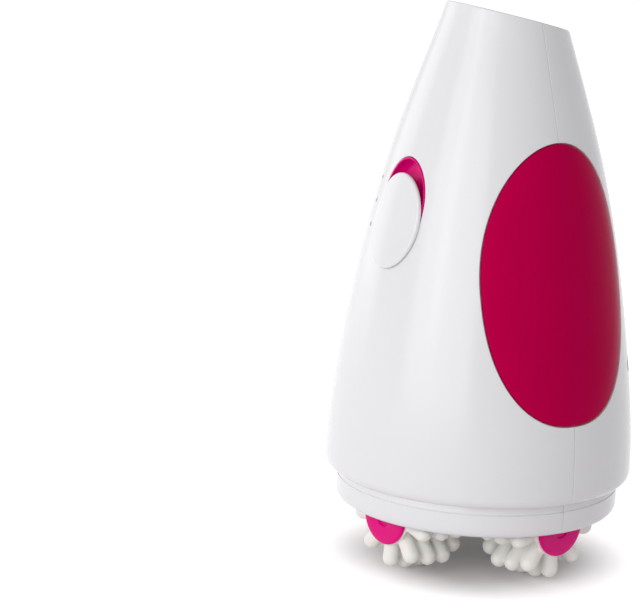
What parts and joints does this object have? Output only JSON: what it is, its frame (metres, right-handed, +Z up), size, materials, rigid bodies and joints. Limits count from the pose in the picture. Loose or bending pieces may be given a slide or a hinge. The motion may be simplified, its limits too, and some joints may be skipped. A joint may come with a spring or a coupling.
{
  "type": "anti-cellulite massager",
  "caption": "Hand-held cone-shaped body massager with a slanted top, grip pads, a sliding switch over an oval dish, and a motor-driven head of knobbly kneading rollers.",
  "frame": {"origin": "on the ground, on the axis of the body, where the lowest fingers of the rollers touch", "axes": "+Z up along the axis of the body, -Y towards the front with the switch, +X towards the grip pad on the right of someone who faces the switch"},
  "size_m": [0.126, 0.126, 0.232],
  "materials": {
    "white_plastic": "gloss",
    "magenta_plastic": "gloss",
    "magenta_grip": "satin",
    "ivory_plastic": "fine matt",
    "inner_white": "matt",
    "dark_screws": "blackened",
    "steel": "ground",
    "bronze": "turned",
    "gear_nylon": "moulded",
    "black_plastic": "moulded",
    "board": "coated",
    "copper": "wound wire",
    "ferrite": "sintered",
    "wire_sleeve": "soft"
  },
  "bodies": {
    "housing": {"front_shell": "white_plastic", "rear_shell": "white_plastic", "grip_pad_left": "magenta_grip", "grip_pad_right": "magenta_grip", "shell_screw_1": "dark_screws", "shell_screw_2": "dark_screws", "shell_screw_3": "dark_screws", "shell_screw_4": "dark_screws", "top_cap": "white_plastic", "power_jack": "black_plastic", "switch_dish": "magenta_plastic", "slide_switch": "black_plastic", "circuit_board": "board", "board_screw_1": "dark_screws", "board_screw_2": "dark_screws", "roller_bay": "inner_white", "output_bearing": "bronze", "cluster_pin": "steel", "gearbox_cover": "inner_white", "cover_screw_1": "dark_screws", "cover_screw_2": "dark_screws", "cover_screw_3": "dark_screws", "cover_screw_4": "dark_screws", "motor_can": "steel", "motor_end_cap": "black_plastic", "motor_magnet_left": "ferrite", "motor_magnet_right": "ferrite", "motor_screw_1": "dark_screws", "motor_screw_2": "dark_screws", "inlet_wires": "wire_sleeve", "motor_wires": "wire_sleeve"},
    "switch": {"switch_cap": "white_plastic", "switch_slider": "black_plastic"},
    "head": {"roller_carrier": "inner_white", "output_shaft": "steel", "shaft_screw": "dark_screws", "output_gear": "gear_nylon", "gear_clip": "dark_screws", "axle_1": "steel", "axle_2": "steel", "axle_3": "steel", "axle_4": "steel", "axle_screw_1": "dark_screws", "axle_screw_2": "dark_screws", "axle_screw_3": "dark_screws", "axle_screw_4": "dark_screws"},
    "cluster": {"cluster_gear": "gear_nylon"},
    "rotor": {"armature": "copper", "motor_shaft": "steel", "motor_pinion": "bronze"},
    "roller_1": {"roller_1": "ivory_plastic", "roller_cap_1": "magenta_plastic"},
    "roller_2": {"roller_2": "ivory_plastic", "roller_cap_2": "magenta_plastic"},
    "roller_3": {"roller_3": "ivory_plastic", "roller_cap_3": "magenta_plastic"},
    "roller_4": {"roller_4": "ivory_plastic", "roller_cap_4": "magenta_plastic"}
  },
  "joints": [
    {"name": "switch_slide", "type": "slide", "parent": "housing", "child": "switch", "axis": [0, 0.2294, 0.9733], "range_m": [0, 0.011]},
    {"name": "head_spin", "type": "hinge", "parent": "housing", "child": "head", "pos_m": [0, 0, 0.0245], "axis": [0, 0, 1], "continuous": true},
    {"name": "cluster_spin", "type": "hinge", "parent": "housing", "child": "cluster", "pos_m": [0, 0.03, 0.07], "axis": [0, 0, 1], "continuous": true},
    {"name": "rotor_spin", "type": "hinge", "parent": "housing", "child": "rotor", "pos_m": [0, 0.006, 0.1], "axis": [0, 0, 1], "continuous": true},
    {"name": "roller_spin_1", "type": "hinge", "parent": "head", "child": "roller_1", "pos_m": [0, 0, 0.0245], "axis": [0.994, 0.1097, 0], "continuous": true},
    {"name": "roller_spin_2", "type": "hinge", "parent": "head", "child": "roller_2", "pos_m": [0, 0, 0.0245], "axis": [-0.1097, 0.994, 0], "continuous": true},
    {"name": "roller_spin_3", "type": "hinge", "parent": "head", "child": "roller_3", "pos_m": [0, 0, 0.0245], "axis": [-0.994, -0.1097, 0], "continuous": true},
    {"name": "roller_spin_4", "type": "hinge", "parent": "head", "child": "roller_4", "pos_m": [0, 0, 0.0245], "axis": [0.1097, -0.994, 0], "continuous": true}
  ],
  "couplings": [
    {"joint": "cluster_spin", "follows": "head_spin", "ratio": -3},
    {"joint": "rotor_spin", "follows": "head_spin", "ratio": 9}
  ]
}
